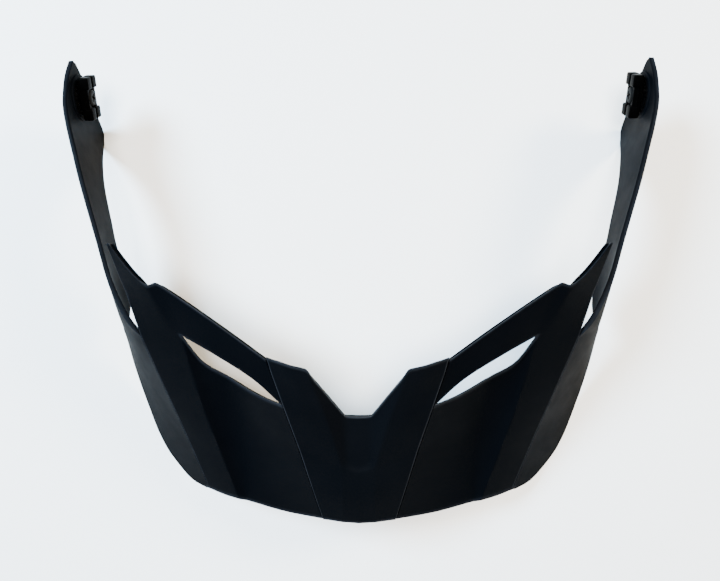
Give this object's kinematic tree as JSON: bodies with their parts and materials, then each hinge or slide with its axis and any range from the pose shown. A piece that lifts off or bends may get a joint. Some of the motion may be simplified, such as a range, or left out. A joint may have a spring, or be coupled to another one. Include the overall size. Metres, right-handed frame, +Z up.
{
  "type": "cycling helmet visor",
  "caption": "Removable peak of a mountain-bike helmet: a faceted, vented blade with a raised centre panel, and two long arms that end in turning key plugs.",
  "frame": {"origin": "middle of the underside of the bounding box, on the surface that the visor lies on", "axes": "+X to the wearer's left and right, from one arm to the other; +Y from the brim back towards the head; +Z up, out of the upper surface"},
  "size_m": [0.2146, 0.1703, 0.0578],
  "materials": {
    "shell": "fine spark-eroded matte black",
    "panel": "fine spark-eroded matte black",
    "plug": "smooth glossy black",
    "ring": "smooth black acetal",
    "screw": "blackened steel",
    "spring": "bright spring steel"
  },
  "bodies": {
    "visor": {"blade": "shell", "centre_panel": "panel", "arm_left": "shell", "arm_right": "shell", "arm_screw_front_left": "screw", "arm_screw_front_right": "screw", "arm_screw_rear_left": "screw", "arm_screw_rear_right": "screw", "panel_screw_left": "screw", "panel_screw_right": "screw", "index_ring_left": "ring", "index_ring_right": "ring", "wave_washer_left": "spring", "wave_washer_right": "spring", "pivot_screw_left": "screw", "pivot_screw_right": "screw"},
    "left_plug": {"plug_left": "plug"},
    "right_plug": {"plug_right": "plug"}
  },
  "joints": [
    {"name": "left_pivot", "type": "hinge", "parent": "visor", "child": "left_plug", "pos_m": [-0.1016, 0.0736, 0.025], "axis": [1, 0, 0], "range_deg": [-15, 30]},
    {"name": "right_pivot", "type": "hinge", "parent": "visor", "child": "right_plug", "pos_m": [0.1016, 0.0736, 0.025], "axis": [1, 0, 0], "range_deg": [-15, 30]}
  ]
}
